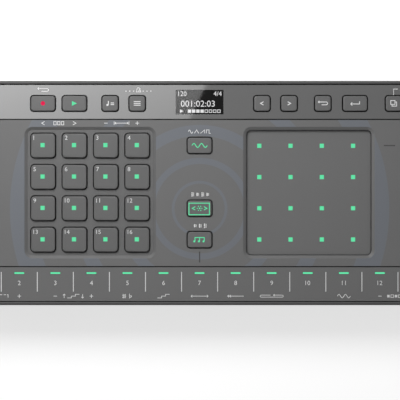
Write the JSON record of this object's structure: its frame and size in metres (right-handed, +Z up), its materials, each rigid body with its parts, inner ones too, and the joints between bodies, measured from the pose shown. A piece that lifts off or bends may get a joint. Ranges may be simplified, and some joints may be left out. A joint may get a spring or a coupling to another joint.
{
  "type": "button midi controller",
  "caption": "Flat desktop controller with sprung square pads, push buttons, a recessed touch pad, a small display in a glossy strip and a strip of lit touch keys.",
  "frame": {"origin": "on the table under the middle of the case", "axes": "+Z up, +X to the user's right, +Y away from the user towards the sockets"},
  "size_m": [0.2382, 0.1126, 0.0269],
  "materials": {
    "case_plastic": "fine moulded satin",
    "panel_plastic": "fine moulded matt, printed",
    "gloss_strip": "polished",
    "window_lens": "polished, smoked",
    "key_plastic": "fine moulded matt, printed",
    "touch_plastic": "fine moulded matt",
    "cap_plastic": "fine moulded matt",
    "light_pipe": "clear, lit green",
    "display_glass": "polished",
    "flex_film": "smooth film",
    "deck_plastic": "as moulded",
    "circuit_board": "solder mask",
    "dome_rubber": "translucent",
    "chip_plastic": "as moulded",
    "diode_plastic": "clear",
    "socket_steel": "plated",
    "black_steel": "black oxide",
    "control_plastic": "as moulded",
    "foot_rubber": "matt"
  },
  "bodies": {
    "chassis": {"lower_case": "case_plastic", "upper_case": "case_plastic", "main_panel": "panel_plastic", "control_strip": "gloss_strip", "display_window": "window_lens", "key_strip": "key_plastic", "touch_plate": "touch_plastic", "touch_light_pipes": "light_pipe", "key_light_pipes": "light_pipe", "display_module": "display_glass", "display_flex": "flex_film", "deck_plate": "deck_plastic", "control_board": "circuit_board", "touch_board": "circuit_board", "key_board": "circuit_board", "pad_domes": "dome_rubber", "button_domes": "dome_rubber", "board_components": "chip_plastic", "midi_jacks": "chip_plastic", "phones_jack": "chip_plastic", "volume_pot": "chip_plastic", "board_leds": "diode_plastic", "usb_port": "socket_steel", "power_switch": "socket_steel", "board_screws": "socket_steel", "case_screws": "black_steel", "rubber_feet": "foot_rubber"},
    "pad_1_cap": {"pad_1": "cap_plastic"},
    "pad_2_cap": {"pad_2": "cap_plastic"},
    "pad_3_cap": {"pad_3": "cap_plastic"},
    "pad_4_cap": {"pad_4": "cap_plastic"},
    "pad_5_cap": {"pad_5": "cap_plastic"},
    "pad_6_cap": {"pad_6": "cap_plastic"},
    "pad_7_cap": {"pad_7": "cap_plastic"},
    "pad_8_cap": {"pad_8": "cap_plastic"},
    "pad_9_cap": {"pad_9": "cap_plastic"},
    "pad_10_cap": {"pad_10": "cap_plastic"},
    "pad_11_cap": {"pad_11": "cap_plastic"},
    "pad_12_cap": {"pad_12": "cap_plastic"},
    "pad_13_cap": {"pad_13": "cap_plastic"},
    "pad_14_cap": {"pad_14": "cap_plastic"},
    "pad_15_cap": {"pad_15": "cap_plastic"},
    "pad_16_cap": {"pad_16": "cap_plastic"},
    "record_cap": {"record_button": "cap_plastic"},
    "play_cap": {"play_button": "cap_plastic"},
    "tempo_cap": {"tempo_button": "cap_plastic"},
    "menu_cap": {"menu_button": "cap_plastic"},
    "left_cap": {"left_button": "cap_plastic"},
    "right_cap": {"right_button": "cap_plastic"},
    "back_cap": {"back_button": "cap_plastic"},
    "enter_cap": {"enter_button": "cap_plastic"},
    "copy_cap": {"copy_button": "cap_plastic"},
    "clear_cap": {"clear_button": "cap_plastic"},
    "sound_cap": {"sound_button": "cap_plastic"},
    "mode_cap": {"mode_button": "cap_plastic"},
    "chord_cap": {"chord_button": "cap_plastic"},
    "touch_mode_cap": {"touch_mode_button": "cap_plastic"},
    "power_knob": {"power_slider": "control_plastic"},
    "volume_knob": {"volume_wheel": "control_plastic"}
  },
  "joints": [
    {"name": "pad_1_press", "type": "slide", "parent": "chassis", "child": "pad_1_cap", "axis": [0, 0, -1], "range_m": [0, 0.001], "stiffness_N_per_m": 600, "springref_m": -0.0005, "deforming": ["pad_domes"]},
    {"name": "pad_2_press", "type": "slide", "parent": "chassis", "child": "pad_2_cap", "axis": [0, 0, -1], "range_m": [0, 0.001], "stiffness_N_per_m": 600, "springref_m": -0.0005, "deforming": ["pad_domes"]},
    {"name": "pad_3_press", "type": "slide", "parent": "chassis", "child": "pad_3_cap", "axis": [0, 0, -1], "range_m": [0, 0.001], "stiffness_N_per_m": 600, "springref_m": -0.0005, "deforming": ["pad_domes"]},
    {"name": "pad_4_press", "type": "slide", "parent": "chassis", "child": "pad_4_cap", "axis": [0, 0, -1], "range_m": [0, 0.001], "stiffness_N_per_m": 600, "springref_m": -0.0005, "deforming": ["pad_domes"]},
    {"name": "pad_5_press", "type": "slide", "parent": "chassis", "child": "pad_5_cap", "axis": [0, 0, -1], "range_m": [0, 0.001], "stiffness_N_per_m": 600, "springref_m": -0.0005, "deforming": ["pad_domes"]},
    {"name": "pad_6_press", "type": "slide", "parent": "chassis", "child": "pad_6_cap", "axis": [0, 0, -1], "range_m": [0, 0.001], "stiffness_N_per_m": 600, "springref_m": -0.0005, "deforming": ["pad_domes"]},
    {"name": "pad_7_press", "type": "slide", "parent": "chassis", "child": "pad_7_cap", "axis": [0, 0, -1], "range_m": [0, 0.001], "stiffness_N_per_m": 600, "springref_m": -0.0005, "deforming": ["pad_domes"]},
    {"name": "pad_8_press", "type": "slide", "parent": "chassis", "child": "pad_8_cap", "axis": [0, 0, -1], "range_m": [0, 0.001], "stiffness_N_per_m": 600, "springref_m": -0.0005, "deforming": ["pad_domes"]},
    {"name": "pad_9_press", "type": "slide", "parent": "chassis", "child": "pad_9_cap", "axis": [0, 0, -1], "range_m": [0, 0.001], "stiffness_N_per_m": 600, "springref_m": -0.0005, "deforming": ["pad_domes"]},
    {"name": "pad_10_press", "type": "slide", "parent": "chassis", "child": "pad_10_cap", "axis": [0, 0, -1], "range_m": [0, 0.001], "stiffness_N_per_m": 600, "springref_m": -0.0005, "deforming": ["pad_domes"]},
    {"name": "pad_11_press", "type": "slide", "parent": "chassis", "child": "pad_11_cap", "axis": [0, 0, -1], "range_m": [0, 0.001], "stiffness_N_per_m": 600, "springref_m": -0.0005, "deforming": ["pad_domes"]},
    {"name": "pad_12_press", "type": "slide", "parent": "chassis", "child": "pad_12_cap", "axis": [0, 0, -1], "range_m": [0, 0.001], "stiffness_N_per_m": 600, "springref_m": -0.0005, "deforming": ["pad_domes"]},
    {"name": "pad_13_press", "type": "slide", "parent": "chassis", "child": "pad_13_cap", "axis": [0, 0, -1], "range_m": [0, 0.001], "stiffness_N_per_m": 600, "springref_m": -0.0005, "deforming": ["pad_domes"]},
    {"name": "pad_14_press", "type": "slide", "parent": "chassis", "child": "pad_14_cap", "axis": [0, 0, -1], "range_m": [0, 0.001], "stiffness_N_per_m": 600, "springref_m": -0.0005, "deforming": ["pad_domes"]},
    {"name": "pad_15_press", "type": "slide", "parent": "chassis", "child": "pad_15_cap", "axis": [0, 0, -1], "range_m": [0, 0.001], "stiffness_N_per_m": 600, "springref_m": -0.0005, "deforming": ["pad_domes"]},
    {"name": "pad_16_press", "type": "slide", "parent": "chassis", "child": "pad_16_cap", "axis": [0, 0, -1], "range_m": [0, 0.001], "stiffness_N_per_m": 600, "springref_m": -0.0005, "deforming": ["pad_domes"]},
    {"name": "record_press", "type": "slide", "parent": "chassis", "child": "record_cap", "axis": [0, 0, -1], "range_m": [0, 0.0007], "stiffness_N_per_m": 600, "springref_m": -0.0005, "deforming": ["button_domes"]},
    {"name": "play_press", "type": "slide", "parent": "chassis", "child": "play_cap", "axis": [0, 0, -1], "range_m": [0, 0.0007], "stiffness_N_per_m": 600, "springref_m": -0.0005, "deforming": ["button_domes"]},
    {"name": "tempo_press", "type": "slide", "parent": "chassis", "child": "tempo_cap", "axis": [0, 0, -1], "range_m": [0, 0.0007], "stiffness_N_per_m": 600, "springref_m": -0.0005, "deforming": ["button_domes"]},
    {"name": "menu_press", "type": "slide", "parent": "chassis", "child": "menu_cap", "axis": [0, 0, -1], "range_m": [0, 0.0007], "stiffness_N_per_m": 600, "springref_m": -0.0005, "deforming": ["button_domes"]},
    {"name": "left_press", "type": "slide", "parent": "chassis", "child": "left_cap", "axis": [0, 0, -1], "range_m": [0, 0.0007], "stiffness_N_per_m": 600, "springref_m": -0.0005, "deforming": ["button_domes"]},
    {"name": "right_press", "type": "slide", "parent": "chassis", "child": "right_cap", "axis": [0, 0, -1], "range_m": [0, 0.0007], "stiffness_N_per_m": 600, "springref_m": -0.0005, "deforming": ["button_domes"]},
    {"name": "back_press", "type": "slide", "parent": "chassis", "child": "back_cap", "axis": [0, 0, -1], "range_m": [0, 0.0007], "stiffness_N_per_m": 600, "springref_m": -0.0005, "deforming": ["button_domes"]},
    {"name": "enter_press", "type": "slide", "parent": "chassis", "child": "enter_cap", "axis": [0, 0, -1], "range_m": [0, 0.0007], "stiffness_N_per_m": 600, "springref_m": -0.0005, "deforming": ["button_domes"]},
    {"name": "copy_press", "type": "slide", "parent": "chassis", "child": "copy_cap", "axis": [0, 0, -1], "range_m": [0, 0.0007], "stiffness_N_per_m": 600, "springref_m": -0.0005, "deforming": ["button_domes"]},
    {"name": "clear_press", "type": "slide", "parent": "chassis", "child": "clear_cap", "axis": [0, 0, -1], "range_m": [0, 0.0007], "stiffness_N_per_m": 600, "springref_m": -0.0005, "deforming": ["button_domes"]},
    {"name": "sound_press", "type": "slide", "parent": "chassis", "child": "sound_cap", "axis": [0, 0, -1], "range_m": [0, 0.0007], "stiffness_N_per_m": 600, "springref_m": -0.0005, "deforming": ["button_domes"]},
    {"name": "mode_press", "type": "slide", "parent": "chassis", "child": "mode_cap", "axis": [0, 0, -1], "range_m": [0, 0.0007], "stiffness_N_per_m": 600, "springref_m": -0.0005, "deforming": ["button_domes"]},
    {"name": "chord_press", "type": "slide", "parent": "chassis", "child": "chord_cap", "axis": [0, 0, -1], "range_m": [0, 0.0007], "stiffness_N_per_m": 600, "springref_m": -0.0005, "deforming": ["button_domes"]},
    {"name": "touch_mode_press", "type": "slide", "parent": "chassis", "child": "touch_mode_cap", "axis": [0, 0, -1], "range_m": [0, 0.0007], "stiffness_N_per_m": 600, "springref_m": -0.0005, "deforming": ["button_domes"]},
    {"name": "power_slide", "type": "slide", "parent": "chassis", "child": "power_knob", "axis": [1, 0, 0], "range_m": [0, 0.003]},
    {"name": "volume_turn", "type": "hinge", "parent": "chassis", "child": "volume_knob", "pos_m": [-0.076, 0.0476, 0.01], "axis": [0, 0, 1], "range_deg": [0, 270]}
  ]
}
